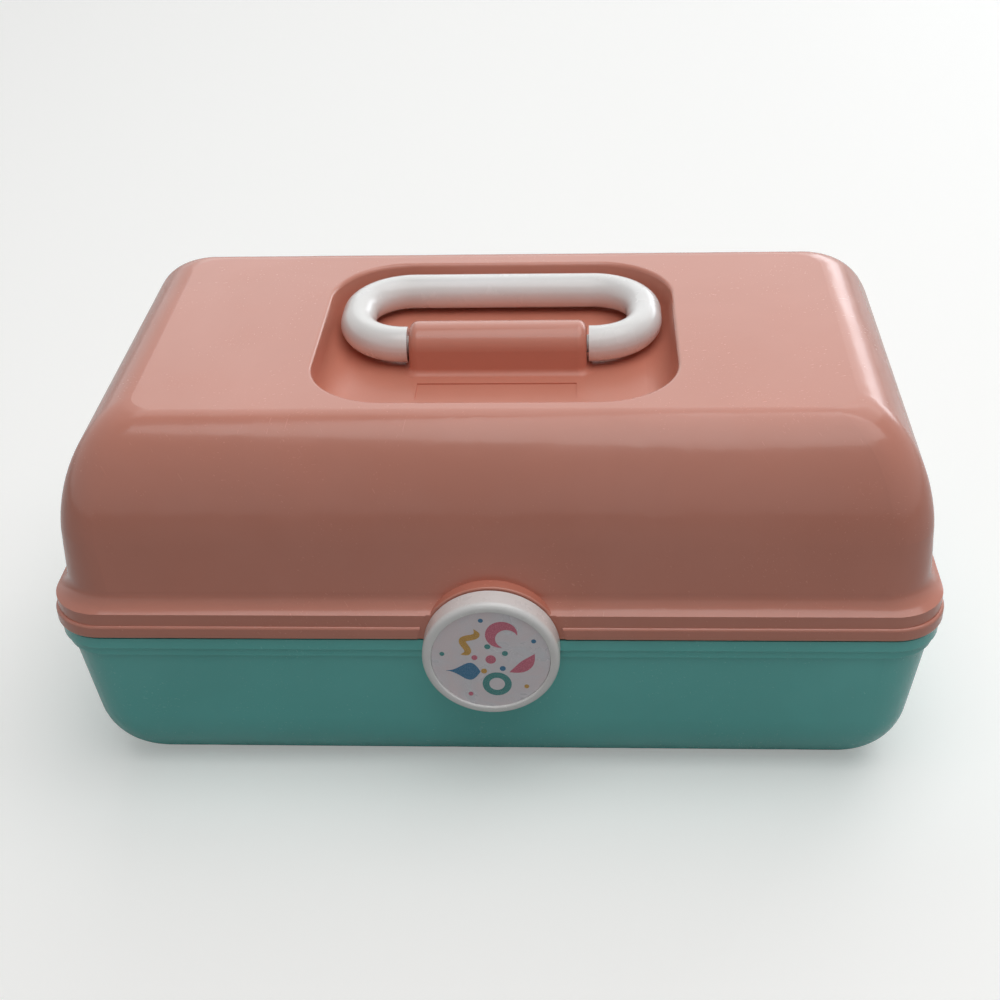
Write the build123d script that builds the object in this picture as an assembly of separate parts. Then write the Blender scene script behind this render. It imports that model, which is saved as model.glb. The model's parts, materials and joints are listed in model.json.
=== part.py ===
from build123d import *
import os
from math import cos, radians, sin, tan

# A hard plastic makeup case: a deep lid hinged at the back of a base, a bail handle folded into
# a dish in the lid's top, and a round snap latch at the front. Inside, a tray hangs on a
# parallelogram: it swings up and back, level, as the lid opens. All sizes are in millimetres.
# X runs along the case, the front is -Y, Z is up. The origin is on the ground under the middle.

# Case
rim_length = 330.0  # along X, over the bead round the lid's lower edge
rim_depth = 198.3  # along Y, over the same bead
case_height = 148.4  # ground to the flat top of the lid
lid_edge_height = 70.6  # ground to the lower edge of the lid
parting_gap = 0.8  # base rim to lid edge
rim_corner_radius = 19.8  # plan radius of the rim's corners
shoulder_corner_radius = 16.0  # plan radius of the lid's corners where its shoulder starts
top_corner_radius = 10.5  # plan radius of the flat top's corners
floor_corner_radius = 12.8  # plan radius of the flat bottom's corners
wall = 2.5  # thickness of both shells
curve_steps = 7  # plans lofted through each rounded shoulder

# Lid, from its lower edge up
bead_height = 5.5
bead_round = 1.1
band_height = 5.0
band_inset = 0.8  # band face inside the bead face
cove_height = 7.2
cove_depth = 4.3  # wall face inside the band face, at the top of the cove
cove_start = 25.0  # degrees, slope of the cove where it leaves the band
cove_steps = 4
lid_side_draft = 4.2  # degrees
lid_front_draft = 7.3  # degrees
shoulder_rise = 41.0  # height of the rounded shoulder below the flat top
shoulder_run_x = 24.4
shoulder_run_y = 21.2
mouth_height = 5.0  # upright part of the lid's inner face, above its edge

# Base, from its rim down
base_inset = 1.2  # base rim inside the lid's bead
rim_band_height = 4.7
step_band_height = 3.8
step_depth = 1.1  # each of the two steps below the rim
step_round = 0.3
base_side_draft = 8.8  # degrees
base_front_draft = 4.4  # degrees
foot_rise = 27.8  # height of the rounded foot
foot_run_x = 19.3
foot_run_y = 20.1
tongue_height = 3.0  # locating tongue above the base rim
tongue_wall = 1.8
tongue_gap = 0.5  # tongue to the upright inner face of the lid

# Dish in the lid's top
dish_rim_margin = 39.95  # mouth of the dish inside the front and the rear of the rim
dish_y = -1.2
dish_corner_radius = 30.0
dish_taper = 9.0  # degrees
dish_floor_round = 10.0
dish_edge_round = 1.6
label_length = 61.5
label_width = 12.4
label_setback = 23.3  # middle of the label panel in front of the middle of the dish
label_recess = 0.5

# Boss in the dish that carries the handle
boss_radius = 9.2
boss_draft = 8.0  # degrees, lean of the boss's front and rear faces
boss_end_round = 3.5
boss_foot_round = 2.8
boss_end_wall = 5.0

# Handle, folded back
tube_diameter = 14.0
handle_length = 129.0  # over the outside of the tube
handle_side_straight = 6.4  # straight part of each side, between its two bends
handle_end_straight = 1.1  # straight part of the tube at each end of the boss
handle_end_clearance = 4.15  # each side of the handle to the mouth of the dish
handle_grip_clearance = 3.8  # grip to the mouth of the dish
handle_floor_clearance = 1.1  # tube to the floor of the dish
handle_end_gap = 0.8  # flat tube end to the end of the boss
handle_stub_diameter = 7.0
handle_stub_gap = 0.4  # stub end to the inner face of the boss end
handle_stub_root = 3.5  # stub inside the tube
handle_sink = 0.4  # top of the tube below the flat top

# Rear hinges
hinge_inset = 70.0  # middle of each hinge to the end of the rim
hinge_offset = 5.2  # axis behind the bead
knuckle_radius = 4.5
base_knuckle_length = 12.0
lid_knuckle_length = 19.2
knuckle_gap = 0.4
hinge_pin_diameter = 3.5
hinge_web_gap = 0.3  # each web from the level of the axis

# Latch
latch_diameter = 50.0
latch_drop = 3.0  # latch's centre below the lid's edge
latch_thickness = 8.8
latch_seat_gap = 0.4  # back of the latch to its seat in the lid
latch_rim_wall = 2.2
latch_face_wall = 1.5
latch_rim_round = 2.2
latch_lip_round = 0.5  # inner edge of the rim
badge_diameter = 43.0
badge_thickness = 1.0
badge_recess = 2.0
latch_seat_clearance = 2.2  # round the latch, to the ends of the lid's bead
latch_seat_inset = 1.1  # seat face inside the bead face
latch_pad_margin = 1.0  # pad radius past the latch
latch_pad_round = 0.7
latch_pivot_drop = 20.5  # pivot below the latch's centre
latch_pivot_inset = 2.6  # pivot in front of the latch's back
latch_pin_diameter = 2.5
latch_pin_length = 18.0
latch_barrel_radius = 3.0
latch_lug_radius = 2.6
latch_lug_length = 9.2
latch_lug_gap = 0.6
latch_lug_web = 4.4
ridge_height = 14.9  # snap ridge above the latch's centre
ridge_width = 18.0
ridge_thickness = 1.5
ridge_depth = 0.5
nib_rise = 2.6  # nib above the ridge
nib_width = 16.0
nib_thickness = 2.0
nib_gap = 0.3  # nib tip to the ridge tip, from front to back

# Tray and its parallelogram
crank = 65.0  # hinge axis to tray pivot, and between the two pivots of an arm
tray_side_gap = 19.0  # end of the rim to the end of the tray
tray_front_gap = 12.15  # front of the rim to the front of the tray
tray_rear_margin = 12.0  # tray pivot to the tray's rear face
tray_drop = 22.2  # bottom of the tray below the hinge axis
tray_height = 28.0
tray_wall = 2.0
tray_corner_radius = 9.0
cell_corner_radius = 6.0
cell_floor_round = 2.5
tray_edge_round = 0.7
row_split_gap = 17.0  # middle of the wall between the rows of cells behind the front rivets
front_cells = 4
rear_cells = 3
arm_pivot_setback = 84.35  # each arm's pivot in the base in front of the hinge axis
arm_pivot_drop = 13.2  # the same pivot below the hinge axis
arm_thickness = 2.5
arm_width = 12.0
arm_gap = 0.5  # arm to the boss on either side of it
tray_boss_height = 2.5
tray_boss_radius = 5.0
rivet_diameter = 4.0
rivet_head_diameter = 8.0
rivet_head = 1.4
rivet_gap = 0.3  # rivet head to a part that turns under it
rivet_depth = 6.0  # rivet into the base's boss
base_boss_radius = 6.0
stop_radius = 2.5
lid_travel = 95.0  # degrees
stop_along = 8.7  # stop peg along the open arm from its pivot
stop_gap = 0.35  # stop peg to the open arm
stop_overlap = 2.0  # peg beside the arm
bracket_width = 13.0
bracket_screw_rise = 19.5  # first screw above the tray pivot
bracket_screw_pitch = 14.0
bracket_screw_depth = 7.0
bracket_boss_radius = 4.5

# Mirror in the lid
mirror_width = 102.0
mirror_thickness = 2.0
mirror_corner_radius = 6.0
pad_thickness = 1.0
pad_margin = 9.0  # pad inside the edge of the mirror
frame_border = 8.0  # frame past the front and rear edges of the mirror
frame_lip = 3.0  # frame under the edge of the mirror
frame_lip_thickness = 1.6
frame_clearance = 0.2  # round the mirror
frame_corner_radius = 9.0
frame_screw_edge = 6.4  # each screw inside the end of the frame
frame_screw_mirror_gap = 6.6  # each screw past the end of the mirror
frame_screw_inset = 6.0  # each screw inside the front or rear edge of the mirror
post_radius = 3.5
post_gap = 2.0  # post to the wall of the dish
screw_diameter = 3.0
screw_head_diameter = 5.6
screw_head = 1.6
screw_length = 11.0

# Fits and tolerances
fixed_fit = 0.02  # radial, for a pin held still in its bore
running_fit = 0.1  # radial, for a pin that turns in its bore
same_place = 0.01  # two places this close are the same

# Places that follow from the sizes above
rim_x = rim_length / 2
rim_y = rim_depth / 2
bead_top = lid_edge_height + bead_height
band_top = bead_top + band_height
cove_top = band_top + cove_height
wall_inset = band_inset + cove_depth
shoulder_foot = case_height - shoulder_rise
base_rim_height = lid_edge_height - parting_gap
base_wall_top = base_rim_height - rim_band_height - step_band_height
base_wall_inset = base_inset + 2 * step_depth
cavity_inset = band_inset + wall
ceiling_height = case_height - wall
dish_length = handle_length + 2 * handle_end_clearance
dish_width = rim_depth - 2 * dish_rim_margin
dish_depth = tube_diameter + handle_sink + handle_floor_clearance
dish_floor = case_height - dish_depth
label_y = dish_y - label_setback
handle_axis_height = case_height - tube_diameter / 2 - handle_sink
handle_reach = dish_width / 2 - tube_diameter / 2 - handle_grip_clearance
handle_bend_radius = (handle_reach - handle_side_straight) / 2
boss_setback = tube_diameter / 2 + handle_bend_radius + handle_end_straight + handle_end_gap
boss_length = handle_length - 2 * boss_setback
hinge_y = rim_y + hinge_offset
hinge_z = lid_edge_height - parting_gap / 2
hinge_spacing = rim_length - 2 * hinge_inset
latch_centre_height = lid_edge_height - latch_drop
latch_pad_radius = latch_diameter / 2 + latch_pad_margin
seat_y = -rim_y + latch_seat_inset
latch_back_y = seat_y - latch_seat_gap
latch_pivot_y = latch_back_y - latch_pivot_inset
latch_pivot_z = latch_centre_height - latch_pivot_drop
tray_pivot_y = hinge_y - crank
tray_rear = tray_pivot_y + tray_rear_margin
tray_front = -rim_y + tray_front_gap
tray_bottom = hinge_z - tray_drop
arm_pivot_y = hinge_y - arm_pivot_setback
arm_pivot_z = hinge_z - arm_pivot_drop
tray_pin_y = arm_pivot_y - crank
tray_split_y = tray_pin_y + row_split_gap
tray_x = rim_x - tray_side_gap
tray_length = 2 * tray_x
arm_inner_x = tray_x + tray_boss_height + arm_gap
arm_outer_x = arm_inner_x + arm_thickness
mirror_top = dish_floor - wall - pad_thickness
mirror_bottom = mirror_top - mirror_thickness
frame_bottom = mirror_bottom - frame_lip_thickness
frame_screw_x = dish_length / 2 + wall + post_gap + post_radius
frame_screw_y = mirror_width / 2 - frame_screw_inset
frame_half_x = frame_screw_x + frame_screw_edge
frame_half_y = mirror_width / 2 + frame_border
mirror_half_x = frame_screw_x - frame_screw_mirror_gap
mirror_half_y = mirror_width / 2


# ---- shared shapes

def plan(half_x, half_y, corner, z):
    """A rounded rectangle lying flat at height z."""
    return Pos(0, 0, z) * RectangleRounded(2 * half_x, 2 * half_y, corner)


def slab(half_x, half_y, corner, bottom, top):
    """An upright slab with a rounded rectangle for its plan."""
    return extrude(plan(half_x, half_y, corner, bottom), top - bottom)


def rod(radius, x_start, x_end, y, z):
    """A round bar along X, between two places on X given in either order."""
    middle = (x_start + x_end) / 2
    return Pos(middle, y, z) * Rot(0, 90, 0) * Cylinder(radius, abs(x_end - x_start))


def post(radius, x, y, bottom, top):
    """An upright round bar."""
    return Pos(x, y, (bottom + top) / 2) * Cylinder(radius, top - bottom)


def block(x_low, x_high, y_low, y_high, z_low, z_high):
    """A plain block between two opposite corners."""
    middle = Pos((x_low + x_high) / 2, (y_low + y_high) / 2, (z_low + z_high) / 2)
    return middle * Box(x_high - x_low, y_high - y_low, z_high - z_low)


def disc(radius, y_back, thickness, z):
    """A round plate that faces the front, its back at y_back."""
    return Pos(0, y_back - thickness / 2, z) * Rot(90, 0, 0) * Cylinder(radius, thickness)


def bar(first, second, half_width, side, x_inner, thickness):
    """A flat bar with round ends about two points on the YZ plane, standing on one side of the case."""
    ends = [Vector(*first), Vector(*second)]
    length = (ends[1] - ends[0]).length
    turn = Vector(1, 0).get_signed_angle(ends[1] - ends[0])
    middle = (ends[0] + ends[1]) / 2
    outline = SlotCenterToCenter(length, 2 * half_width)
    plane = Plane(origin=(side * x_inner, middle.X, middle.Y), x_dir=(0, 1, 0), z_dir=(1, 0, 0))
    return extrude(plane * Rot(0, 0, turn) * outline, side * thickness)


def rivet(side, head_inner, head_outer, y, z):
    """A rivet through the parts between two heads, which stand on either end of its shank."""
    shank = rod(rivet_diameter / 2, side * head_inner, side * head_outer, y, z)
    inner = rod(rivet_head_diameter / 2, side * (head_inner - rivet_head), side * head_inner, y, z)
    outer = rod(rivet_head_diameter / 2, side * head_outer, side * (head_outer + rivet_head), y, z)
    return shank + inner + outer


# ---- shells

def lid_wall_half(z):
    """Half length and half depth of the lid's wall at height z, before its shoulder rounds over."""
    rise = z - cove_top
    half_x = rim_x - wall_inset - rise * tan(radians(lid_side_draft))
    half_y = rim_y - wall_inset - rise * tan(radians(lid_front_draft))
    return half_x, half_y


def lid_wall_plans(skin):
    """Plans of the lid from the top of the cove to the flat top, at a depth below its outer skin."""
    half_x, half_y = lid_wall_half(cove_top)
    plans = [plan(half_x - skin, half_y - skin, rim_corner_radius - skin, cove_top)]
    rise = shoulder_rise - skin
    for step in range(curve_steps + 1):
        turn = radians(90 * step / curve_steps)
        share = 1 - cos(turn)
        z = shoulder_foot + rise * sin(turn)
        half_x, half_y = lid_wall_half(z)
        half_x -= skin + (shoulder_run_x - skin) * share
        half_y -= skin + (shoulder_run_y - skin) * share
        corner = shoulder_corner_radius + (top_corner_radius - shoulder_corner_radius) * share
        plans.append(plan(half_x, half_y, corner - skin, z))
    return plans


def lid_wall_solid(skin):
    """The lid from the top of the cove up: a straight drafted wall and a rounded shoulder."""
    plans = lid_wall_plans(skin)
    return loft(plans[:2]) + loft(plans[1:])


def cove_plans():
    """Plans of the hollow curve between the lid's band and its wall."""
    plans = []
    start = radians(cove_start)
    for step in range(cove_steps + 1):
        turn = start + (radians(90) - start) * step / cove_steps
        inset = band_inset + cove_depth * (sin(turn) - sin(start)) / (1 - sin(start))
        z = band_top + cove_height * (cos(start) - cos(turn)) / cos(start)
        plans.append(plan(rim_x - inset, rim_y - inset, rim_corner_radius, z))
    return plans


def dish_plug(skin):
    """The dish as a solid plug, grown by a skin on its sides and its floor."""
    outline = RectangleRounded(dish_length + 2 * skin, dish_width + 2 * skin, dish_corner_radius + skin)
    plug = extrude(Pos(0, dish_y, case_height) * outline, -(dish_depth + skin), taper=dish_taper)
    return fillet(plug.edges().group_by(Axis.Z)[0], dish_floor_round + skin)


def arch(radius, foot_z, half_length):
    """A bar along X over the dish: round on top about the handle's axis, its sides leaning out to foot_z."""
    drop = handle_axis_height - foot_z
    lean = radians(boss_draft)
    shoulder = (radius * cos(lean), radius * sin(lean))
    foot = shoulder[0] + (shoulder[1] + drop) * tan(lean)
    sides = Polygon((-foot, -drop), (foot, -drop), shoulder, (-shoulder[0], shoulder[1]), align=None)
    outline = Circle(radius) + sides
    plane = Plane(origin=(-half_length, dish_y, handle_axis_height), x_dir=(0, 1, 0), z_dir=(1, 0, 0))
    return extrude(plane * outline, 2 * half_length)


def handle_boss():
    """The hood across the dish: round on top, flat at its ends, with the hollow cut from below."""
    half = boss_length / 2
    below = dish_floor - wall / 2
    hood = arch(boss_radius, below, half)
    ends = hood.edges().group_by(Axis.X)
    hood = fillet([edge for edge in ends[0] + ends[-1] if edge.center().Z > dish_floor], boss_end_round)
    tunnel = arch(boss_radius - wall, below - wall, half - boss_end_wall)
    bore = rod(handle_stub_diameter / 2 + running_fit, -half, half, dish_y, handle_axis_height)
    return hood, tunnel + bore


def lid_knuckles():
    """The middle knuckle of each rear hinge, on a web from the lid's bead."""
    half = lid_knuckle_length / 2
    knuckles = []
    for side in (-1, 1):
        middle = side * hinge_spacing / 2
        barrel = rod(knuckle_radius, middle - half, middle + half, hinge_y, hinge_z)
        web = block(middle - half, middle + half, rim_y - wall, hinge_y,
                    hinge_z + hinge_web_gap, hinge_z + knuckle_radius)
        knuckles.append(barrel + web)
    return knuckles


def snap_ridge():
    """The small ridge in the latch seat that the latch's nib snaps over."""
    z_low = latch_centre_height + ridge_height - ridge_thickness / 2
    return block(-ridge_width / 2, ridge_width / 2, seat_y - ridge_depth, seat_y + ridge_depth,
                 z_low, z_low + ridge_thickness)


def latch_pad():
    """The round collar on the lid that the upper half of the latch closes against."""
    back_y = -lid_wall_half(latch_centre_height + latch_pad_radius)[1] + wall / 2
    pad = disc(latch_pad_radius, back_y, back_y - seat_y, latch_centre_height)
    pad = fillet(pad.edges().group_by(Axis.Y)[0], latch_pad_round)
    return pad - block(-rim_x, rim_x, -rim_depth, rim_depth, 0, lid_edge_height)


def bracket_screw_heights():
    """Heights of the two screws that hold each tray bracket."""
    first = hinge_z + bracket_screw_rise
    return [first, first + bracket_screw_pitch]


def bracket_bosses():
    """Round bosses from the lid's side walls to the tray brackets."""
    bosses = []
    for side in (-1, 1):
        for z in bracket_screw_heights():
            reach = lid_wall_half(z)[0] - wall / 2
            bosses.append(rod(bracket_boss_radius, side * arm_outer_x, side * reach, tray_pivot_y, z))
    return bosses


def bracket_bores():
    """The bores of the tray brackets' screws in their bosses."""
    deep = arm_inner_x + bracket_screw_depth
    return [rod(screw_diameter / 2 + fixed_fit, side * arm_outer_x, side * deep, tray_pivot_y, z)
            for side in (-1, 1) for z in bracket_screw_heights()]


def frame_screw_places():
    """Plan positions of the four screws of the mirror frame."""
    return [(x, y) for x in (-frame_screw_x, frame_screw_x) for y in (-frame_screw_y, frame_screw_y)]


def mirror_posts():
    """Four posts down from the lid's ceiling to the mirror frame."""
    return [post(post_radius, x, y, mirror_top, ceiling_height + wall / 2)
            for x, y in frame_screw_places()]


def mirror_bores():
    """The bores of the mirror frame's screws."""
    return [post(screw_diameter / 2 + fixed_fit, x, y, frame_bottom, frame_bottom + screw_length)
            for x, y in frame_screw_places()]


def label_panel():
    """The bare sunken label panel in the floor of the dish."""
    half_x = label_length / 2
    half_y = label_width / 2
    return block(-half_x, half_x, label_y - half_y, label_y + half_y, dish_floor - label_recess, dish_floor)


def make_lid_shell():
    """The lid, with its bead, dish, handle boss, latch seat and all the bosses inside it."""
    bead = slab(rim_x, rim_y, rim_corner_radius, lid_edge_height, bead_top)
    bead = fillet(bead.edges().group_by(Axis.Z)[0] + bead.edges().group_by(Axis.Z)[-1], bead_round)
    band = slab(rim_x - band_inset, rim_y - band_inset, rim_corner_radius,
                lid_edge_height + bead_round, band_top)
    skin = bead + band + loft(cove_plans()) + lid_wall_solid(0)
    skin -= disc(latch_diameter / 2 + latch_seat_clearance, seat_y, latch_thickness, latch_centre_height)
    skin += latch_pad()

    mouth_x = rim_x - cavity_inset
    mouth_y = rim_y - cavity_inset
    mouth_corner = rim_corner_radius - cavity_inset
    mouth_top = lid_edge_height + mouth_height
    cavity = slab(mouth_x, mouth_y, mouth_corner, lid_edge_height, mouth_top)
    cavity += loft([plan(mouth_x, mouth_y, mouth_corner, mouth_top), lid_wall_plans(wall)[0]])
    cavity += lid_wall_solid(wall)
    shell = skin - (cavity - dish_plug(wall)) - dish_plug(0)
    flat_top = shell.faces().filter_by(Plane.XY).sort_by(Axis.Z)[-1]
    shell = fillet(flat_top.inner_wires()[0].edges(), dish_edge_round)
    hood, hollow = handle_boss()
    shell += hood
    foot = []
    for edge in shell.edges().filter_by(Axis.X):
        at_floor = abs(edge.center().Z - dish_floor) < same_place
        if at_floor and abs(edge.center().Y - dish_y) < 2 * boss_radius:
            foot.append(edge)
    shell = fillet(foot, boss_foot_round)
    shell -= hollow
    shell -= label_panel()
    shell = shell.fuse(snap_ridge(), *lid_knuckles(), *bracket_bosses(), *mirror_posts())
    shell -= [hinge_bore(side, running_fit) for side in (-1, 1)]
    return shell - mirror_bores() - bracket_bores()


def base_wall_half(z):
    """Half length and half depth of the base's wall at height z, before its foot rounds under."""
    drop = base_wall_top - z
    half_x = rim_x - base_wall_inset - drop * tan(radians(base_side_draft))
    half_y = rim_y - base_wall_inset - drop * tan(radians(base_front_draft))
    return half_x, half_y


def base_corner(z):
    """Plan corner radius of the base, which tightens towards the ground."""
    share = z / base_wall_top
    return floor_corner_radius + (rim_corner_radius - base_inset - floor_corner_radius) * share


def base_plans(skin):
    """Plans of the base from its flat bottom to the steps, at a depth below its outer skin."""
    plans = []
    rise = foot_rise - skin
    heights = []
    turns = []
    for step in range(curve_steps + 1):
        turn = radians(90 * (1 - step / curve_steps))
        heights.append(skin + rise * (1 - sin(turn)))
        turns.append(turn)
    heights.append(base_wall_top)
    turns.append(0.0)
    for z, turn in zip(heights, turns):
        half_x, half_y = base_wall_half(z)
        half_x -= skin + (foot_run_x - skin) * (1 - cos(turn))
        half_y -= skin + (foot_run_y - skin) * (1 - cos(turn))
        plans.append(plan(half_x, half_y, base_corner(z) - skin, z))
    return plans


def base_wall_solid(skin):
    """The base from the ground to its steps: a rounded foot and a straight drafted wall."""
    plans = base_plans(skin)
    return loft(plans[:-1]) + loft(plans[-2:])


def base_knuckles():
    """The outer knuckles of the rear hinges, on webs from the base's rim band."""
    knuckles = []
    for side in (-1, 1):
        middle = side * hinge_spacing / 2
        near = lid_knuckle_length / 2 + knuckle_gap
        for end in (-1, 1):
            x_near = middle + end * near
            x_far = x_near + end * base_knuckle_length
            barrel = rod(knuckle_radius, x_near, x_far, hinge_y, hinge_z)
            web = block(min(x_near, x_far), max(x_near, x_far), rim_y - base_inset - wall / 2, hinge_y,
                        hinge_z - knuckle_radius, hinge_z - hinge_web_gap)
            knuckles.append(barrel + web)
    return knuckles


def hinge_bore(side, fit):
    """The bore of one rear hinge, through all its knuckles."""
    middle = side * hinge_spacing / 2
    half = hinge_pin_length() / 2
    return rod(hinge_pin_diameter / 2 + fit, middle - half, middle + half, hinge_y, hinge_z)


def hinge_pin_length():
    """Length of a hinge pin, flush with the outer faces of its knuckles."""
    return lid_knuckle_length + 2 * knuckle_gap + 2 * base_knuckle_length


def latch_lug():
    """The lug on the base's front that carries the latch pin."""
    half = latch_lug_length / 2
    barrel = rod(latch_lug_radius, -half, half, latch_pivot_y, latch_pivot_z)
    wall_y = -base_wall_half(latch_pivot_z)[1] + wall / 2
    web = block(-half, half, latch_pivot_y, wall_y, latch_pivot_z - latch_lug_web / 2,
                latch_pivot_z + latch_lug_web / 2)
    bore = rod(latch_pin_diameter / 2 + fixed_fit, -half, half, latch_pivot_y, latch_pivot_z)
    return barrel + web - bore


def stop_place():
    """Y and Z of the stop peg, which stands just behind the arm when the lid is fully open."""
    turn = radians(lid_travel)
    out = arm_width / 2 + stop_radius + stop_gap
    y = arm_pivot_y - cos(turn) * stop_along + sin(turn) * out
    z = arm_pivot_z + sin(turn) * stop_along + cos(turn) * out
    return y, z


def arm_bosses():
    """Bosses on the base's side walls that carry the arms, each with the peg that stops its arm."""
    bosses = []
    for side in (-1, 1):
        reach = base_wall_half(arm_pivot_z)[0] - wall / 2
        inner = arm_outer_x + arm_gap
        boss = rod(base_boss_radius, side * inner, side * reach, arm_pivot_y, arm_pivot_z)
        bore = rod(rivet_diameter / 2 + fixed_fit, side * inner, side * (inner + rivet_depth),
                   arm_pivot_y, arm_pivot_z)
        peg = rod(stop_radius, side * (arm_outer_x - stop_overlap), side * reach, *stop_place())
        bosses += [boss - bore, peg]
    return bosses


def rim_ring(outer_x, outer_y, corner, thickness, bottom, top):
    """An upright ring that follows the rim, inside the given plan."""
    outside = slab(outer_x, outer_y, corner, bottom, top)
    inside = slab(outer_x - thickness, outer_y - thickness, corner - thickness, bottom, top)
    return outside - inside


def make_base_shell():
    """The base, with its steps, locating tongue, hinge knuckles, latch lug and arm bosses."""
    corner = rim_corner_radius - base_inset
    skin = base_wall_solid(0)
    step_top = base_wall_top + step_band_height
    for inset, bottom, top in ((base_inset + step_depth, base_wall_top, step_top),
                               (base_inset, step_top, base_rim_height)):
        band = slab(rim_x - inset, rim_y - inset, corner, bottom, top)
        skin += fillet(band.edges().group_by(Axis.Z)[0], step_round)
    inner_x, inner_y = base_wall_half(base_wall_top)
    mouth = slab(inner_x - wall, inner_y - wall, base_corner(base_wall_top) - wall, base_wall_top,
                 base_rim_height)
    shell = skin - base_wall_solid(wall) - mouth
    tongue_inset = cavity_inset + tongue_gap
    tongue = rim_ring(rim_x - tongue_inset, rim_y - tongue_inset, rim_corner_radius - tongue_inset,
                      tongue_wall, base_wall_top, base_rim_height + tongue_height)
    shell += tongue
    shell = shell.fuse(*base_knuckles(), latch_lug(), *arm_bosses())
    return shell - [hinge_bore(side, fixed_fit) for side in (-1, 1)]


# ---- pieces on the outside

def make_hinge_pin(side):
    """A plain steel pin through one rear hinge."""
    return hinge_bore(side, 0)


def make_carry_handle():
    """A round tube bent to a racetrack, its flat ends facing the boss, with a stub at each end."""
    end_x = boss_length / 2 + handle_end_gap
    outer_x = handle_length / 2 - tube_diameter / 2
    back_y = dish_y + handle_reach
    corners = [(-end_x, dish_y), (-outer_x, dish_y), (-outer_x, back_y),
               (outer_x, back_y), (outer_x, dish_y), (end_x, dish_y)]
    path = FilletPolyline(*[(x, y, handle_axis_height) for x, y in corners], radius=handle_bend_radius)
    tube = sweep(Plane(path @ 0, z_dir=path % 0) * Circle(tube_diameter / 2), path=path)
    stub_end = boss_length / 2 - boss_end_wall + handle_stub_gap
    for side in (-1, 1):
        tube += rod(handle_stub_diameter / 2, side * stub_end, side * (end_x + handle_stub_root), dish_y,
                    handle_axis_height)
    return tube


def make_latch_button():
    """The round latch: a cup open at the back, with two pivot barrels and a snap nib inside."""
    radius = latch_diameter / 2
    z = latch_centre_height
    cup_depth = latch_thickness - badge_recess - latch_face_wall
    cup = disc(radius, latch_back_y, latch_thickness, z)
    cup = fillet(cup.edges().group_by(Axis.Y)[0], latch_rim_round)
    cup -= disc(badge_diameter / 2 + running_fit, latch_back_y - latch_thickness + badge_recess,
                badge_recess, z)
    lip = cup.edges().group_by(Axis.Y)[0].sort_by(SortBy.RADIUS)[0]
    cup = fillet(lip, latch_lip_round)
    hollow = disc(radius - latch_rim_wall, latch_back_y, cup_depth, z)
    cup -= hollow

    lug_half = latch_lug_length / 2 + latch_lug_gap
    face_y = latch_back_y - cup_depth
    pin_half = latch_pin_length / 2
    barrels = rod(latch_barrel_radius, -pin_half, pin_half, latch_pivot_y, latch_pivot_z)
    cup += barrels
    cup -= block(-lug_half, lug_half, face_y, latch_back_y + wall, z - radius,
                 latch_pivot_z + latch_barrel_radius)
    cup -= rod(latch_pin_diameter / 2 + running_fit, -pin_half, pin_half, latch_pivot_y, latch_pivot_z)

    nib_low = z + ridge_height + ridge_thickness / 2 + nib_rise - nib_thickness / 2
    nib_tip = seat_y - ridge_depth - nib_gap
    cup += block(-nib_width / 2, nib_width / 2, face_y - latch_face_wall / 2, nib_tip, nib_low,
                 nib_low + nib_thickness)
    return cup


def make_latch_badge():
    """The plain disc set in the face of the latch."""
    back = latch_back_y - latch_thickness + badge_recess
    return disc(badge_diameter / 2, back, badge_thickness, latch_centre_height)


def make_latch_pin():
    """The steel pin through the latch's barrels and the lug on the base."""
    half = latch_pin_length / 2
    return rod(latch_pin_diameter / 2, -half, half, latch_pivot_y, latch_pivot_z)


# ---- tray and its parallelogram

def cell_boxes():
    """Corners of the tray's cells in plan: a row of long cells in front, a row of wide ones behind."""
    front_low = tray_front + tray_wall
    rows = [(front_cells, front_low, tray_split_y - tray_wall / 2),
            (rear_cells, tray_split_y + tray_wall / 2, tray_rear - tray_wall)]
    cells = []
    for count, y_low, y_high in rows:
        pitch = (tray_length - tray_wall) / count
        for index in range(count):
            x_low = -tray_x + tray_wall + index * pitch
            cells.append((x_low, x_low + pitch - tray_wall, y_low, y_high))
    return cells


def make_tray():
    """The tray: rounded outside, seven round-cornered cells, and bosses for its four pivots."""
    depth = tray_rear - tray_front
    middle_y = (tray_rear + tray_front) / 2
    top = tray_bottom + tray_height
    body = extrude(Pos(0, middle_y, tray_bottom) * RectangleRounded(tray_length, depth,
                                                                    tray_corner_radius), tray_height)
    body = fillet(body.edges().group_by(Axis.Z)[0], tray_wall)
    for x_low, x_high, y_low, y_high in cell_boxes():
        outline = RectangleRounded(x_high - x_low, y_high - y_low, cell_corner_radius)
        place = Pos((x_low + x_high) / 2, (y_low + y_high) / 2, tray_bottom + tray_wall)
        cell = extrude(place * outline, tray_height)
        body -= fillet(cell.edges().group_by(Axis.Z)[0], cell_floor_round)
    body = fillet(body.edges().group_by(Axis.Z)[-1], tray_edge_round)
    for side in (-1, 1):
        for y, z, fit in ((tray_pivot_y, hinge_z, running_fit), (tray_pin_y, arm_pivot_z, fixed_fit)):
            outer = side * (tray_x + tray_boss_height)
            body += rod(tray_boss_radius, side * (tray_x - tray_wall / 2), outer, y, z)
            body -= rod(rivet_diameter / 2 + fit, side * (tray_x - 2 * tray_wall), outer, y, z)
    return body


def make_link_arm(side):
    """A flat arm between the base's boss and the front of the tray."""
    arm = bar((tray_pin_y, arm_pivot_z), (arm_pivot_y, arm_pivot_z), arm_width / 2, side,
              arm_inner_x, arm_thickness)
    for y in (tray_pin_y, arm_pivot_y):
        arm -= rod(rivet_diameter / 2 + running_fit, side * arm_inner_x, side * arm_outer_x, y,
                   arm_pivot_z)
    return arm


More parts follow.
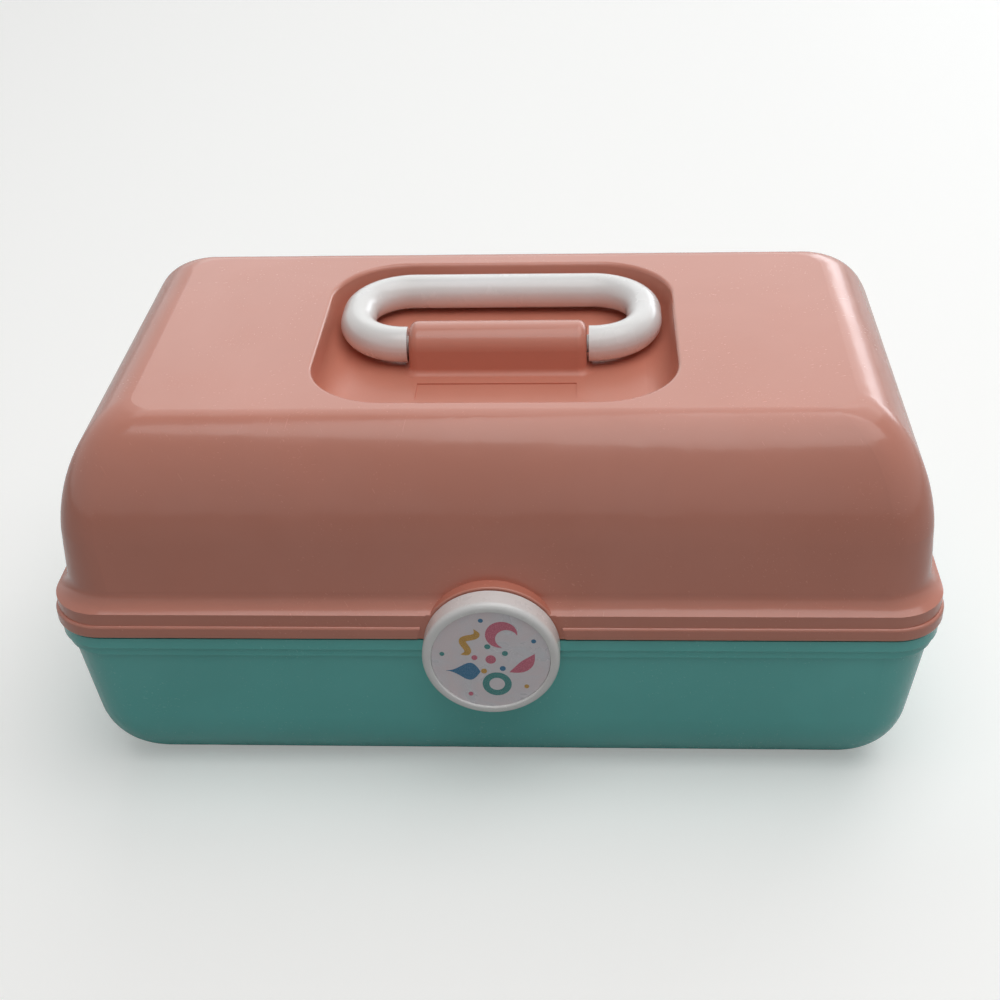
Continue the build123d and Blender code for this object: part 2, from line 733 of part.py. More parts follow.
def make_lid_bracket(side):
    """A flat bracket that hangs from the lid's side and carries the rear of the tray."""
    heights = bracket_screw_heights()
    plate = bar((tray_pivot_y, hinge_z), (tray_pivot_y, heights[-1]), bracket_width / 2, side,
                arm_inner_x, arm_thickness)
    plate -= rod(rivet_diameter / 2 + fixed_fit, side * arm_inner_x, side * arm_outer_x,
                 tray_pivot_y, hinge_z)
    for z in heights:
        plate -= rod(screw_diameter / 2 + fixed_fit, side * arm_inner_x, side * arm_outer_x,
                     tray_pivot_y, z)
    return plate


def make_bracket_screws():
    """Two screws in each tray bracket, their heads towards the tray."""
    screws = []
    for side in (-1, 1):
        for z in bracket_screw_heights():
            shank = rod(screw_diameter / 2, side * arm_inner_x, side * (arm_inner_x + bracket_screw_depth),
                        tray_pivot_y, z)
            head = rod(screw_head_diameter / 2, side * (arm_inner_x - screw_head), side * arm_inner_x,
                       tray_pivot_y, z)
            screws.append(shank + head)
    return Compound(screws)


def make_tray_lid_pin(side):
    """The rivet held in a bracket on which the rear of the tray turns."""
    return rivet(side, tray_x - tray_wall - rivet_gap, arm_outer_x, tray_pivot_y, hinge_z)


def make_arm_tray_pin(side):
    """The rivet held in the tray on which the front end of an arm turns."""
    return rivet(side, tray_x - tray_wall, arm_outer_x + rivet_gap, tray_pin_y, arm_pivot_z)


def make_arm_base_pin(side):
    """The headed pin pressed in the base's boss on which an arm turns."""
    head_face = arm_inner_x - rivet_gap
    shank = rod(rivet_diameter / 2, side * head_face, side * (arm_outer_x + arm_gap + rivet_depth),
                arm_pivot_y, arm_pivot_z)
    head = rod(rivet_head_diameter / 2, side * (head_face - rivet_head), side * head_face,
               arm_pivot_y, arm_pivot_z)
    return shank + head


# ---- mirror

def make_mirror_glass():
    """The mirror, face down under the dish."""
    return slab(mirror_half_x, mirror_half_y, mirror_corner_radius, mirror_bottom, mirror_top)


def make_mirror_pad():
    """A foam pad between the mirror and the underside of the dish."""
    return slab(mirror_half_x - pad_margin, mirror_half_y - pad_margin, mirror_corner_radius, mirror_top,
                mirror_top + pad_thickness)


def make_mirror_frame():
    """A moulded frame with a lip under the edge of the mirror, screwed to four posts."""
    frame = slab(frame_half_x, frame_half_y, frame_corner_radius, frame_bottom, mirror_top)
    frame = fillet(frame.edges().group_by(Axis.Z)[0], frame_lip_thickness / 2)
    frame -= slab(mirror_half_x + frame_clearance, mirror_half_y + frame_clearance,
                  mirror_corner_radius + frame_clearance, mirror_bottom, mirror_top)
    frame -= slab(mirror_half_x - frame_lip, mirror_half_y - frame_lip,
                  mirror_corner_radius - frame_lip / 2, frame_bottom, mirror_top)
    for x, y in frame_screw_places():
        frame -= post(screw_diameter / 2 + fixed_fit, x, y, frame_bottom, mirror_top)
    return frame


def make_mirror_screws():
    """Four screws up through the mirror frame into its posts."""
    screws = []
    for x, y in frame_screw_places():
        shank = post(screw_diameter / 2, x, y, frame_bottom, frame_bottom + screw_length)
        head = post(screw_head_diameter / 2, x, y, frame_bottom - screw_head, frame_bottom)
        screws.append(shank + head)
    return Compound(screws)


# ---- all pieces

def all_pieces():
    """Every piece of the case by name."""
    pieces = {
        "base_shell": make_base_shell(),
        "lid_shell": make_lid_shell(),
        "carry_handle": make_carry_handle(),
        "latch_button": make_latch_button(),
        "latch_badge": make_latch_badge(),
        "latch_pin": make_latch_pin(),
        "tray": make_tray(),
        "bracket_screws": make_bracket_screws(),
        "mirror_glass": make_mirror_glass(),
        "mirror_pad": make_mirror_pad(),
        "mirror_frame": make_mirror_frame(),
        "mirror_screws": make_mirror_screws(),
    }
    for name, side in (("left", -1), ("right", 1)):
        pieces["hinge_pin_" + name] = make_hinge_pin(side)
        pieces["link_arm_" + name] = make_link_arm(side)
        pieces["lid_bracket_" + name] = make_lid_bracket(side)
        pieces["tray_lid_pin_" + name] = make_tray_lid_pin(side)
        pieces["arm_tray_pin_" + name] = make_arm_tray_pin(side)
        pieces["arm_base_pin_" + name] = make_arm_base_pin(side)
    return pieces


os.makedirs("parts", exist_ok=True)
for node, piece in all_pieces().items():
    export_step(piece, f"parts/{node}.step")
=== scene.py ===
import json
import math

import bpy
from mathutils import Matrix, Vector


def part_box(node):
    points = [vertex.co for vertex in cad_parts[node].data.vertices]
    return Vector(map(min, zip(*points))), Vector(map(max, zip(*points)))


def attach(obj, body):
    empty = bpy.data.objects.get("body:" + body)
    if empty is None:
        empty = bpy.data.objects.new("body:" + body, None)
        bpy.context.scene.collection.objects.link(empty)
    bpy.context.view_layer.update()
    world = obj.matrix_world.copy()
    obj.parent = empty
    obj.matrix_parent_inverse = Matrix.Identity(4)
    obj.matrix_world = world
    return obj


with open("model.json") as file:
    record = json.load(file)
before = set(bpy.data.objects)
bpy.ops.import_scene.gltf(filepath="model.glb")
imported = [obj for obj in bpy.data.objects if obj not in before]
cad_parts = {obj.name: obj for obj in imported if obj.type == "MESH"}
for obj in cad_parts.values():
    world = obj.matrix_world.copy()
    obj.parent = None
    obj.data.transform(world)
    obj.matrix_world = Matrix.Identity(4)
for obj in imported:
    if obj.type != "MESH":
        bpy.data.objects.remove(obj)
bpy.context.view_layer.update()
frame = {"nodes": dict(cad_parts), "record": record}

nodes_by_name = frame["nodes"]

# ---- colours, as sRGB written in linear numbers


def linear(red, green, blue):
    """An sRGB colour in 0 to 255 as a linear RGBA colour."""
    values = []
    for channel in (red, green, blue):
        share = channel / 255
        values.append(share / 12.92 if share <= 0.04045 else ((share + 0.055) / 1.055) ** 2.4)
    return (*values, 1.0)


PINK = linear(208, 134, 114)
PINK_DEEP = linear(203, 128, 107)
MINT = linear(98, 198, 192)
MINT_DEEP = linear(92, 190, 184)
WHITE = linear(240, 240, 240)
WHITE_WARM = linear(234, 233, 231)
PEARL = linear(214, 214, 220)
PEARL_WARM = linear(222, 210, 214)
CREAM = linear(233, 229, 224)
CREAM_DEEP = linear(226, 221, 215)
STEEL = linear(196, 196, 199)
STEEL_DARK = linear(172, 172, 176)
SILVER = linear(238, 240, 242)
FOAM = linear(62, 62, 65)
# painted shade at the bottom of the foam's pores
FOAM_PORE_SHADE = linear(48, 48, 51)
FLAKE = linear(238, 236, 240)
SILVER_SMEARED = linear(230, 234, 236)

# ---- sizes of the grain and wear, as noise scales in turns per metre and depths in metres

CLOUD_SCALE = 14.0  # slow drift of a moulded colour
SPECK_SCALE = 1900.0  # pale specks in the plastic
SMUDGE_SCALE = 38.0  # handling marks in the gloss
RIPPLE_SCALE = 70.0  # sink marks of the moulding
PEEL_SCALE = 1400.0  # orange peel over the ripple
PEEL_SHARE = 0.03  # depth of the orange peel, as a share of the ripple's
STREAK_STRETCH = (34, 1500, 1500)  # scratches run along the first axis
STREAK_TURNS = ((42, 18, 24), (-38, 47, -41), (65, -32, 78))  # degrees, one set per direction
STREAK_PATCH_SCALE = 26.0
STREAK_DEPTH = 0.000008
SATIN_CLOUD_SCALE = 20.0
SATIN_GLOSS_SCALE = 60.0
PIT_SCALE = 2600.0  # spark-eroded grain
SATIN_WAVE_SCALE = 90.0
TURNING_STRETCH = (2400, 500, 500)
TURNING_DEPTH = 0.00001
SMEAR_SCALE = 24.0
PORE_SCALE = 1700.0
PORE_DEPTH = 0.0001
PEARL_FLOW_SCALE = 60.0
PEARL_FLAKE_SCALE = 5200.0
PEARL_FLAKE_DEPTH = 0.000006
PEARL_WAVE_SCALE = 120.0
PEARL_WAVE_DEPTH = 0.00002
INK_DOT_SCALE = 2400.0
INK_DOT_DEPTH = 0.000008
MIDDLE_SPAN = (0.35, 0.68)  # part of the noise that a slow change is spread over

# ---- the dish in the lid's top, where the mould was left matte

DISH_MARGIN = 0.004  # handle to the sides and floor of the matte part
DISH_LIP = 0.0030  # highest point of the lid down to the top of the matte part
MATTE_ROUGHER = 0.16  # added to the gloss plastic's roughness
SOFT_SIDE = 0.0003  # half width of the change at the matte part's sides

# ---- material building


class Tree:
    """A material's node tree, with short calls that add and join nodes."""

    def __init__(self, name):
        self.material = bpy.data.materials.new(name)
        self.material.use_nodes = True
        self.tree = self.material.node_tree
        self.shader = self.tree.nodes["Principled BSDF"]
        self.place = self.add("ShaderNodeTexCoord").outputs["Object"]

    def add(self, kind, **values):
        node = self.tree.nodes.new(kind)
        for key, value in values.items():
            setattr(node, key, value)
        return node

    def join(self, source, target):
        self.tree.links.new(source, target)

    def put(self, socket, value):
        """Sets a shader socket straight on the shader."""
        self.shader.inputs[socket].default_value = value

    def stretched(self, scale, turn=(0, 0, 0)):
        """The object's coordinates, turned and stretched."""
        node = self.add("ShaderNodeMapping", vector_type="TEXTURE")
        node.inputs["Rotation"].default_value = [math.radians(a) for a in turn]
        node.inputs["Scale"].default_value = [1 / a for a in scale]
        self.join(self.place, node.inputs["Vector"])
        return node.outputs["Vector"]

    def noise(self, scale, detail=3.0, roughness=0.55, place=None, distortion=0.0):
        node = self.add("ShaderNodeTexNoise")
        node.inputs["Scale"].default_value = scale
        node.inputs["Detail"].default_value = detail
        node.inputs["Roughness"].default_value = roughness
        node.inputs["Distortion"].default_value = distortion
        self.join(place or self.place, node.inputs["Vector"])
        return node.outputs["Fac"]

    def span(self, value, low, high, to_low, to_high):
        """A value moved from one range to another, held at its ends."""
        node = self.add("ShaderNodeMapRange")
        ends = {"From Min": low, "From Max": high, "To Min": to_low, "To Max": to_high}
        for socket, number in ends.items():
            node.inputs[socket].default_value = number
        self.join(value, node.inputs["Value"])
        return node.outputs["Result"]

    def sum(self, first, second):
        node = self.add("ShaderNodeMath", operation="ADD")
        self.join(first, node.inputs[0])
        self.join(second, node.inputs[1])
        return node.outputs[0]

    def times(self, first, second):
        node = self.add("ShaderNodeMath", operation="MULTIPLY")
        self.join(first, node.inputs[0])
        self.join(second, node.inputs[1])
        return node.outputs[0]

    def blend(self, share, first, second):
        """One colour, or colour output, blended into another."""
        node = self.add("ShaderNodeMix", data_type="RGBA")
        self.join(share, node.inputs["Factor"])
        for socket, colour in ((node.inputs[6], first), (node.inputs[7], second)):
            if isinstance(colour, tuple):
                socket.default_value = colour
            else:
                self.join(colour, socket)
        return node.outputs[2]

    def inside(self, low, high):
        """1 inside a box in the object's coordinates and 0 outside it, with soft sides."""
        parts = self.add("ShaderNodeSeparateXYZ")
        self.join(self.place, parts.inputs["Vector"])
        share = None
        for axis, bottom, top in zip("XYZ", low, high):
            up = self.span(parts.outputs[axis], bottom - SOFT_SIDE, bottom + SOFT_SIDE, 0, 1)
            down = self.span(parts.outputs[axis], top - SOFT_SIDE, top + SOFT_SIDE, 1, 0)
            both = self.times(up, down)
            share = both if share is None else self.times(share, both)
        return share

    def bumps(self, *heights):
        """Bumps laid over each other, each a height output and its depth in metres."""
        normal = None
        for height, depth in heights:
            node = self.add("ShaderNodeBump")
            node.inputs["Distance"].default_value = depth
            node.inputs["Strength"].default_value = 1.0
            self.join(height, node.inputs["Height"])
            if normal is not None:
                self.join(normal, node.inputs["Normal"])
            normal = node.outputs["Normal"]
        self.join(normal, self.shader.inputs["Normal"])

    def scratches(self, density):
        """Fine hairline scratches in three directions, 0 on clean plastic and 1 in a scratch."""
        total = None
        for turn in STREAK_TURNS:
            streak = self.noise(1.0, detail=1.5, place=self.stretched(STREAK_STRETCH, turn))
            patch = self.noise(STREAK_PATCH_SCALE, detail=2.0, place=self.stretched((1, 1, 1), turn))
            mask = self.times(self.span(streak, 0.70 - density, 0.735 - density, 0, 1),
                              self.span(patch, 0.50, 0.64, 0, 1))
            total = mask if total is None else self.sum(total, mask)
        return total


def dish_box():
    """Low and high corners of the matte part of the lid, round the handle."""
    handle_low, handle_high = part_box("carry_handle")
    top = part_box("lid_shell")[1][2]
    grip = handle_high[1]
    half_x = handle_high[0] + DISH_MARGIN
    low = (-half_x, -grip - DISH_MARGIN, handle_low[2] - DISH_MARGIN)
    return low, (half_x, grip + DISH_MARGIN, top - DISH_LIP)


def moulded(name, colour, deep, rough, ripple, wear, coat=0.0, matte_box=None):
    """Moulded gloss plastic: cloudy colour, smudges, a faint ripple, hairline scratches and specks."""
    m = Tree(name)
    cloud = m.noise(CLOUD_SCALE, detail=4.0, distortion=0.6)
    speck = m.noise(SPECK_SCALE, detail=1.0)
    scratch = m.scratches(wear)
    tone = m.blend(m.span(cloud, *MIDDLE_SPAN, 0, 1), colour, deep)
    pale = tuple(min(1.0, c * 1.12 + 0.02) for c in colour[:3]) + (1.0,)
    tone = m.blend(m.span(scratch, 0, 1, 0, 0.35), tone, pale)
    tone = m.blend(m.span(speck, 0.72, 0.78, 0, 0.12), tone, pale)
    m.join(tone, m.shader.inputs["Base Color"])
    smudge = m.noise(SMUDGE_SCALE, detail=5.0, roughness=0.62)
    gloss = m.span(smudge, 0.38, 0.66, rough, rough + 0.08)
    gloss = m.sum(gloss, m.span(scratch, 0, 1, 0, 0.12))
    if matte_box:
        matte = m.inside(*matte_box)
        gloss = m.sum(gloss, m.span(matte, 0, 1, 0, MATTE_ROUGHER))
        m.join(m.span(matte, 0, 1, coat, 0), m.shader.inputs["Coat Weight"])
    else:
        m.put("Coat Weight", coat)
    m.join(gloss, m.shader.inputs["Roughness"])
    m.bumps((m.noise(RIPPLE_SCALE, detail=2.0), ripple),
            (m.noise(PEEL_SCALE, detail=2.0), ripple * PEEL_SHARE),
            (m.span(scratch, 0, 1, 1, 0), STREAK_DEPTH))
    m.put("IOR", 1.49)
    m.put("Coat Roughness", 0.05)
    return m.material


def satin(name, colour, deep, rough, grain):
    """Plastic with the fine spark-eroded grain of a textured mould."""
    m = Tree(name)
    cloud = m.noise(SATIN_CLOUD_SCALE, detail=4.0)
    m.join(m.blend(m.span(cloud, *MIDDLE_SPAN, 0, 1), colour, deep), m.shader.inputs["Base Color"])
    pits = m.noise(PIT_SCALE, detail=2.0)
    gloss = m.span(m.noise(SATIN_GLOSS_SCALE, detail=5.0), *MIDDLE_SPAN, rough, rough + 0.12)
    m.join(gloss, m.shader.inputs["Roughness"])
    m.bumps((pits, grain), (m.noise(SATIN_WAVE_SCALE), grain * 2.5))
    m.put("IOR", 1.47)
    return m.material


def steel(name):
    """Plated steel with fine turning marks."""
    m = Tree(name)
    marks = m.noise(1.0, detail=3.0, place=m.stretched(TURNING_STRETCH))
    m.join(m.blend(m.span(marks, 0.35, 0.65, 0, 1), STEEL, STEEL_DARK), m.shader.inputs["Base Color"])
    m.join(m.span(marks, 0.3, 0.7, 0.2, 0.38), m.shader.inputs["Roughness"])
    m.bumps((marks, TURNING_DEPTH))
    m.put("Metallic", 1.0)
    return m.material


def silvered(name):
    """A silvered mirror with the faintest smears."""
    m = Tree(name)
    smear = m.noise(SMEAR_SCALE, detail=5.0, distortion=1.2)
    m.join(m.span(smear, 0.45, 0.75, 0.015, 0.07), m.shader.inputs["Roughness"])
    m.join(m.blend(m.span(smear, 0.3, 0.8, 0, 1), SILVER, SILVER_SMEARED), m.shader.inputs["Base Color"])
    m.put("Metallic", 1.0)
    return m.material


def foam(name):
    """Closed-cell foam, with open pores where it was cut, their bottoms darkened with painted shade."""
    m = Tree(name)
    pores = m.add("ShaderNodeTexVoronoi")
    pores.inputs["Scale"].default_value = PORE_SCALE
    m.join(m.place, pores.inputs["Vector"])
    depth = m.span(pores.outputs["Distance"], 0.0, 0.6, 0, 1)
    # painted shade: the colour darkens towards the bottom of each pore
    m.join(m.blend(depth, FOAM_PORE_SHADE, FOAM), m.shader.inputs["Base Color"])
    m.join(m.span(depth, 0, 1, 0.95, 0.8), m.shader.inputs["Roughness"])
    m.bumps((depth, PORE_DEPTH))
    return m.material


def pearl(name):
    """Pearly plastic under a clear lacquer."""
    m = Tree(name)
    flow = m.noise(PEARL_FLOW_SCALE, detail=4.0, distortion=1.5)
    flake = m.noise(PEARL_FLAKE_SCALE, detail=1.0)
    tone = m.blend(m.span(flow, 0.35, 0.65, 0, 1), PEARL, PEARL_WARM)
    tone = m.blend(m.span(flake, 0.60, 0.72, 0, 0.5), tone, FLAKE)
    m.join(tone, m.shader.inputs["Base Color"])
    m.join(m.span(flow, 0.3, 0.7, 0.24, 0.34), m.shader.inputs["Roughness"])
    m.bumps((flake, PEARL_FLAKE_DEPTH), (m.noise(PEARL_WAVE_SCALE), PEARL_WAVE_DEPTH))
    m.put("Metallic", 0.15)
    m.put("Coat Weight", 0.6)
    m.put("Coat Roughness", 0.08)
    return m.material


def ink(name, colour):
    """Printed ink, a little uneven in its cover."""
    m = Tree(name)
    dots = m.noise(INK_DOT_SCALE, detail=1.5)
    pale = tuple(min(1.0, c * 1.5 + 0.05) for c in colour[:3]) + (1.0,)
    m.join(m.blend(m.span(dots, 0.58, 0.72, 0, 0.6), colour, pale), m.shader.inputs["Base Color"])
    m.join(m.span(dots, 0.3, 0.7, 0.22, 0.34), m.shader.inputs["Roughness"])
    m.bumps((dots, INK_DOT_DEPTH))
    m.put("Coat Weight", 0.5)
    m.put("Coat Roughness", 0.1)
    return m.material


SHELL_ROUGH = 0.19
SHELL_RIPPLE = 0.00007
SHELL_WEAR = 0.006
WHITE_ROUGH = 0.22
WHITE_RIPPLE = 0.00005
WHITE_WEAR = 0.004
CLEAR_COAT = 0.2
TRAY_ROUGH = 0.32
TRAY_GRAIN = 0.000012
LINK_ROUGH = 0.36
FRAME_ROUGH = 0.34
FINE_GRAIN = 0.000014

MATERIALS = {
    "lid_plastic": moulded("lid_plastic", PINK, PINK_DEEP, SHELL_ROUGH, SHELL_RIPPLE, SHELL_WEAR,
                           coat=CLEAR_COAT, matte_box=dish_box()),
    "base_plastic": moulded("base_plastic", MINT, MINT_DEEP, SHELL_ROUGH, SHELL_RIPPLE, SHELL_WEAR,
                            coat=CLEAR_COAT),
    "white_plastic": moulded("white_plastic", WHITE, WHITE_WARM, WHITE_ROUGH, WHITE_RIPPLE, WHITE_WEAR,
                             coat=CLEAR_COAT),
    "badge_pearl": pearl("badge_pearl"),
    "tray_plastic": satin("tray_plastic", CREAM, CREAM_DEEP, TRAY_ROUGH, TRAY_GRAIN),
    "link_plastic": satin("link_plastic", WHITE, WHITE_WARM, LINK_ROUGH, FINE_GRAIN),
    "frame_plastic": satin("frame_plastic", PINK, PINK_DEEP, FRAME_ROUGH, FINE_GRAIN),
    "pin_steel": steel("pin_steel"),
    "mirror_face": silvered("mirror_face"),
    "foam": foam("foam"),
}

for part in frame["record"]["subparts"]:
    shown = nodes_by_name[part["node"]]
    shown.data.materials.clear()
    shown.data.materials.append(MATERIALS[part["material_slot"]])


# ---- print on the latch's badge

INKS = {
    "pink": linear(206, 104, 128),
    "gold": linear(205, 156, 66),
    "blue": linear(40, 116, 158),
    "teal": linear(58, 140, 138),
}
PRINT_LIFT = 0.00004  # ink above the badge
PRINT_EDGE = 0.0018  # bare border of the badge
MOTIFS = ("crescent", "wave", "drop", "ring", "leaf")  # in turn round the badge
MOTIF_RING = 0.58  # circle the motifs stand on, as a share of the printed radius
MOTIF_SIZE = 0.0062  # half length of a motif
MOTIF_START = 64.0  # degrees, place of the first motif
MOTIF_TURN = 70.0  # degrees, how far the first motif is turned from its own spoke
MOTIF_TURN_STEP = 40.0  # degrees, how much further each next motif is turned
# Each ring of dots: its share of the printed radius, a dot's radius, whether every motif has
# a dot of its own, and the dots' shift round the ring as a share of the way to the next motif
DOT_RINGS = ((0.90, 0.0009, True, 0.5), (0.30, 0.0011, True, 0.5), (0.0, 0.0019, False, 0.0))
RIBBON_STEPS = 28
INK_THICKNESS_SHARE = 0.9  # of the ink's lift above the badge


def motif_ribbon(kind, share):
    """Middle line and half width of a motif of half length 1, at a share of the way along it."""
    if kind == "crescent":
        turn = math.radians(-125 + 250 * share)
        return 0.78 * math.cos(turn), 0.78 * math.sin(turn), 0.34 * math.sin(math.pi * share) + 0.01
    if kind == "wave":
        half = 0.19 * min(1, 8 * share, 8 - 8 * share) + 0.01
        return 2 * share - 1, 0.30 * math.sin(3 * math.pi * share), half
    if kind == "drop":
        return 2 * share - 1, 0.0, 0.62 * math.sin(math.pi * share ** 1.9) + 0.01
    if kind == "leaf":
        return 2 * share - 1, 0.25 * math.sin(math.pi * share), 0.36 * math.sin(math.pi * share) + 0.01
    return 0.66 * math.cos(math.tau * share), 0.66 * math.sin(math.tau * share), 0.20


def ribbon_edges(kind):
    """Left and right edges of a motif's ribbon."""
    left, right = [], []
    for step in range(RIBBON_STEPS + 1):
        share = step / RIBBON_STEPS
        x, y, half = motif_ribbon(kind, share)
        ahead = motif_ribbon(kind, share + 0.001)
        slope = math.hypot(ahead[0] - x, ahead[1] - y)
        side_x, side_y = (y - ahead[1]) / slope, (ahead[0] - x) / slope
        left.append((x + side_x * half, y + side_y * half))
        right.append((x - side_x * half, y - side_y * half))
    return left, right


def print_motif(kind, shape, centre, size, turn):
    """Adds one motif, as a strip of faces, to an ink's vertices and faces."""
    vertices, faces = shape
    first = len(vertices)
    left, right = ribbon_edges(kind)
    for a, b in left + right:
        vertices.append((centre[0] + size * (a * math.cos(turn) - b * math.sin(turn)), centre[1],
                         centre[2] + size * (a * math.sin(turn) + b * math.cos(turn))))
    count = len(left)
    for step in range(count - 1):
        faces.append((first + step, first + step + 1, first + count + step + 1, first + count + step))


def print_dot(shape, centre, radius):
    """Adds one round dot to an ink's vertices and faces."""
    vertices, faces = shape
    first = len(vertices)
    for step in range(RIBBON_STEPS):
        turn = math.tau * step / RIBBON_STEPS
        vertices.append((centre[0] + radius * math.cos(turn), centre[1],
                         centre[2] + radius * math.sin(turn)))
    faces.append(tuple(range(first, first + RIBBON_STEPS)))


def print_badge():
    """One thin mesh of motifs and dots per ink, lying on the badge and riding on the latch."""
    low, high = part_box("latch_badge")
    middle_x = (low[0] + high[0]) / 2
    middle_z = (low[2] + high[2]) / 2
    face_y = low[1] - PRINT_LIFT
    radius = (high[0] - low[0]) / 2 - PRINT_EDGE
    shapes = {name: ([], []) for name in INKS}
    names = list(INKS)

    def spot(share, turn):
        """A point on the badge's face, at a share of the printed radius."""
        reach = radius * share
        return (middle_x + reach * math.cos(turn), face_y, middle_z + reach * math.sin(turn))

    for index, kind in enumerate(MOTIFS):
        turn = math.radians(MOTIF_START) + math.tau * index / len(MOTIFS)
        shape = shapes[names[index % len(names)]]
        lean = math.radians(MOTIF_TURN + MOTIF_TURN_STEP * index)
        print_motif(kind, shape, spot(MOTIF_RING, turn), MOTIF_SIZE, turn + lean)
        for ring, (share, size, at_each, shift) in enumerate(DOT_RINGS):
            if at_each or index == 0:
                place = turn + shift * math.tau / len(MOTIFS)
                print_dot(shapes[names[(index + ring + 2) % len(names)]], spot(share, place), size)
    for name, (vertices, faces) in shapes.items():
        mesh = bpy.data.meshes.new("print_" + name)
        mesh.from_pydata(vertices, [], faces)
        mesh.update()
        piece = bpy.data.objects.new("print_" + name, mesh)
        bpy.context.scene.collection.objects.link(piece)
        mesh.materials.append(ink("ink_" + name, INKS[name]))
        thick = piece.modifiers.new("ink", "SOLIDIFY")
        thick.thickness = PRINT_LIFT * INK_THICKNESS_SHARE
        thick.offset = 0.0
        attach(piece, "latch")


print_badge()


# ---- floor, light and camera

FLOOR_HALF = 4.0
FLOOR_LIGHT = (0.80, 0.80, 0.79, 1.0)  # as the camera and reflections see it
FLOOR_GRAIN_SHADE = 0.985  # of the light colour, where the grain is darkest
FLOOR_GRAIN_SCALE = 900.0
FLOOR_GLOW = 0.29  # emission towards the camera
FLOOR_GLOW_COLOUR = (1.0, 1.0, 0.985, 1.0)
FLOOR_BOUNCE = (0.42, 0.42, 0.415, 1.0)  # as the object is lit by it
ROOM_COLOUR = (0.93, 0.935, 0.93, 1.0)
ROOM_LIGHT = 0.14  # on the object, where the camera and reflections see 1

# Soft lamps: the middle of each, its two lengths and its power in watts
OVERHEAD_PLACE = (0.3, -0.25, 1.6)
OVERHEAD_SIZE = (1.8, 1.4)
OVERHEAD_POWER = 15.5
CEILING_PLACE = (0.3, 1.35, 2.0)
CEILING_SIZE = (2.8, 1.5)
CEILING_POWER = 11.0
BACK_WALL_PLACE = (0.5, 2.4, 1.3)
BACK_WALL_SIZE = (3.2, 1.4)
BACK_WALL_POWER = 11.0
WINDOW_PLACE = (1.1, 1.85, 0.58)
WINDOW_SIZE = (1.3, 0.5)
WINDOW_POWER = 4.2
WINDOW_COLOUR = (0.88, 0.94, 1.0)
WHITE_LIGHT = (1.0, 1.0, 1.0)
AIM_CASE = (0, 0, 0.1)
AIM_TOP = (0, 0, 0.14)
AIM_SHOULDER = (0.05, 0, 0.12)


def pale_floor():
    """A pale floor that looks light to the camera and in reflections, and bounces a plain light."""
    mesh = bpy.data.meshes.new("floor")
    corners = [(-FLOOR_HALF, -FLOOR_HALF, 0), (FLOOR_HALF, -FLOOR_HALF, 0),
               (FLOOR_HALF, FLOOR_HALF, 0), (-FLOOR_HALF, FLOOR_HALF, 0)]
    mesh.from_pydata(corners, [], [(0, 1, 2, 3)])
    floor = bpy.data.objects.new("floor", mesh)
    bpy.context.scene.collection.objects.link(floor)
    m = Tree("floor")
    rays = m.add("ShaderNodeLightPath")
    seen = m.sum(m.sum(rays.outputs["Is Camera Ray"], rays.outputs["Is Glossy Ray"]),
                 rays.outputs["Is Transmission Ray"])
    seen = m.span(seen, 0, 1, 0, 1)
    grain = m.noise(FLOOR_GRAIN_SCALE, detail=2.0)
    shade = tuple(c * FLOOR_GRAIN_SHADE for c in FLOOR_LIGHT[:3]) + (1.0,)
    light = m.blend(m.span(grain, 0.3, 0.7, 0, 1), FLOOR_LIGHT, shade)
    m.join(m.blend(seen, FLOOR_BOUNCE, light), m.shader.inputs["Base Color"])
    m.put("Emission Color", FLOOR_GLOW_COLOUR)
    m.join(m.span(rays.outputs["Is Camera Ray"], 0, 1, 0, FLOOR_GLOW), m.shader.inputs["Emission Strength"])
    m.put("Roughness", 0.6)
    m.put("Specular IOR Level", 0.25)
    mesh.materials.append(m.material)


def pale_world():
    """A pale room: soft light on the object, near white to the camera and in reflections."""
    world = bpy.data.worlds.new("room")
    world.use_nodes = True
    bpy.context.scene.world = world
    tree = world.node_tree
    background = tree.nodes["Background"]
    rays = tree.nodes.new("ShaderNodeLightPath")
    first = tree.nodes.new("ShaderNodeMath")
    second = tree.nodes.new("ShaderNodeMath")
    strength = tree.nodes.new("ShaderNodeMapRange")
    tree.links.new(rays.outputs["Is Camera Ray"], first.inputs[0])
    tree.links.new(rays.outputs["Is Glossy Ray"], first.inputs[1])
    tree.links.new(first.outputs[0], second.inputs[0])
    tree.links.new(rays.outputs["Is Transmission Ray"], second.inputs[1])
    tree.links.new(second.outputs[0], strength.inputs["Value"])
    strength.inputs["To Min"].default_value = ROOM_LIGHT
    strength.inputs["To Max"].default_value = 1.0
    tree.links.new(strength.outputs["Result"], background.inputs["Strength"])
    background.inputs["Color"].default_value = ROOM_COLOUR


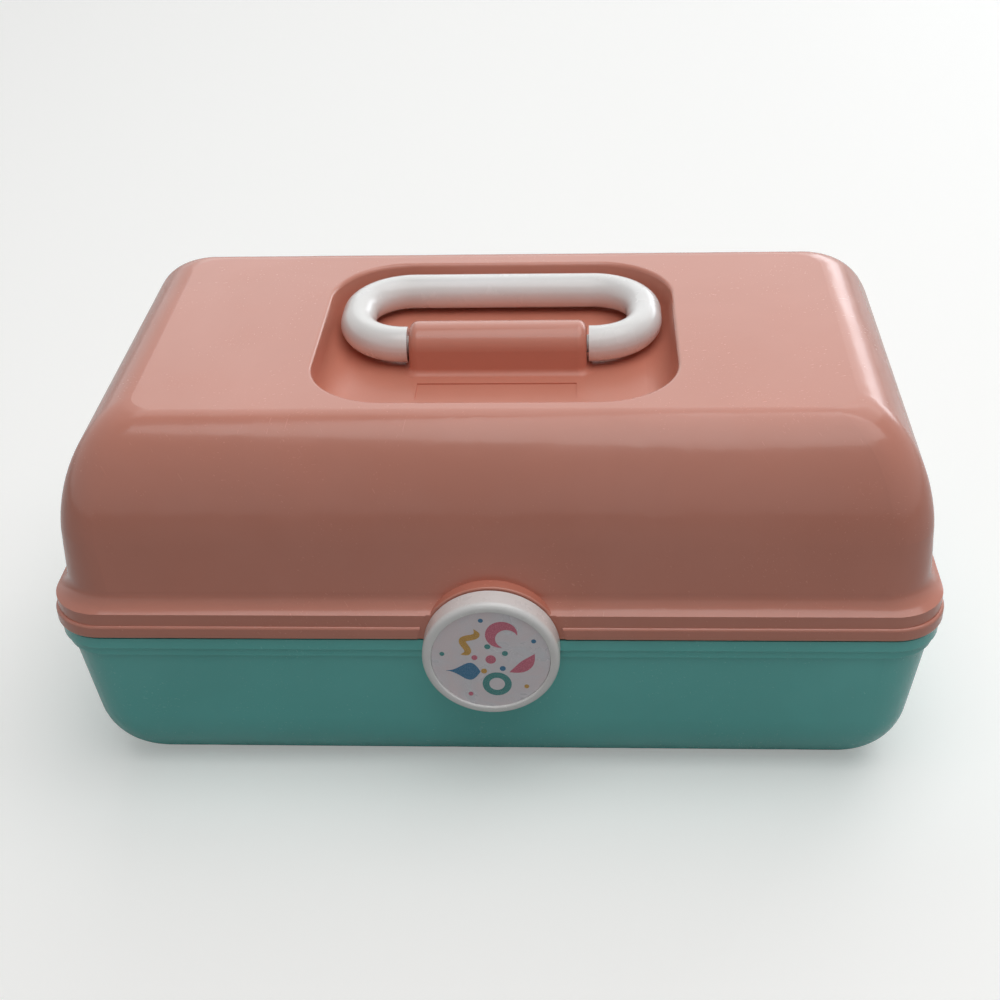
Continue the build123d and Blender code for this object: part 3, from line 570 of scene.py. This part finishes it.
def soft_lamp(name, place, aim, size, power, colour=WHITE_LIGHT):
    """A rectangular soft lamp aimed at a point."""
    lamp = bpy.data.lights.new(name, "AREA")
    lamp.color = colour
    lamp.shape = "RECTANGLE"
    lamp.size, lamp.size_y = size
    lamp.energy = power
    holder = bpy.data.objects.new(name, lamp)
    holder.location = place
    holder.rotation_euler = (Vector(aim) - Vector(place)).to_track_quat("-Z", "Y").to_euler()
    bpy.context.scene.collection.objects.link(holder)


pale_world()
pale_floor()
soft_lamp("overhead", OVERHEAD_PLACE, AIM_CASE, OVERHEAD_SIZE, OVERHEAD_POWER)
soft_lamp("ceiling", CEILING_PLACE, AIM_CASE, CEILING_SIZE, CEILING_POWER)
soft_lamp("back_wall", BACK_WALL_PLACE, AIM_TOP, BACK_WALL_SIZE, BACK_WALL_POWER)
soft_lamp("window", WINDOW_PLACE, AIM_SHOULDER, WINDOW_SIZE, WINDOW_POWER, WINDOW_COLOUR)

# The camera's place, direction and focal length, solved from the outline in the photograph
CAMERA_PLACE = (0.03555, -0.55418, 0.42419)
CAMERA_FOCAL = 1582.8  # in widths of a pixel
CAMERA_PITCH = 32.7  # degrees below the horizon
CAMERA_YAW = -3.84  # degrees, positive to the right
CAMERA_ROLL = -2.11  # degrees, positive with the camera's right side up
IMAGE_WIDTH = 1000  # pixels
SENSOR_WIDTH = 36.0  # millimetres


def photo_camera():
    """The camera of the photograph."""
    pitch, yaw, roll = (math.radians(a) for a in (CAMERA_PITCH, CAMERA_YAW, CAMERA_ROLL))
    forward = Vector((math.sin(yaw) * math.cos(pitch), math.cos(yaw) * math.cos(pitch), -math.sin(pitch)))
    right = Vector((math.cos(yaw), -math.sin(yaw), 0))
    up = right.cross(forward)
    axis_x = right * math.cos(roll) + up * math.sin(roll)
    axis_y = -right * math.sin(roll) + up * math.cos(roll)
    data = bpy.data.cameras.new("photo")
    data.sensor_width = SENSOR_WIDTH
    data.sensor_fit = "HORIZONTAL"
    data.lens = CAMERA_FOCAL * SENSOR_WIDTH / IMAGE_WIDTH
    camera = bpy.data.objects.new("photo", data)
    turned = Matrix((axis_x, axis_y, -forward)).transposed().to_4x4()
    camera.matrix_world = Matrix.Translation(CAMERA_PLACE) @ turned
    bpy.context.scene.collection.objects.link(camera)
    bpy.context.scene.camera = camera


photo_camera()
bpy.context.scene.view_settings.view_transform = "Standard"
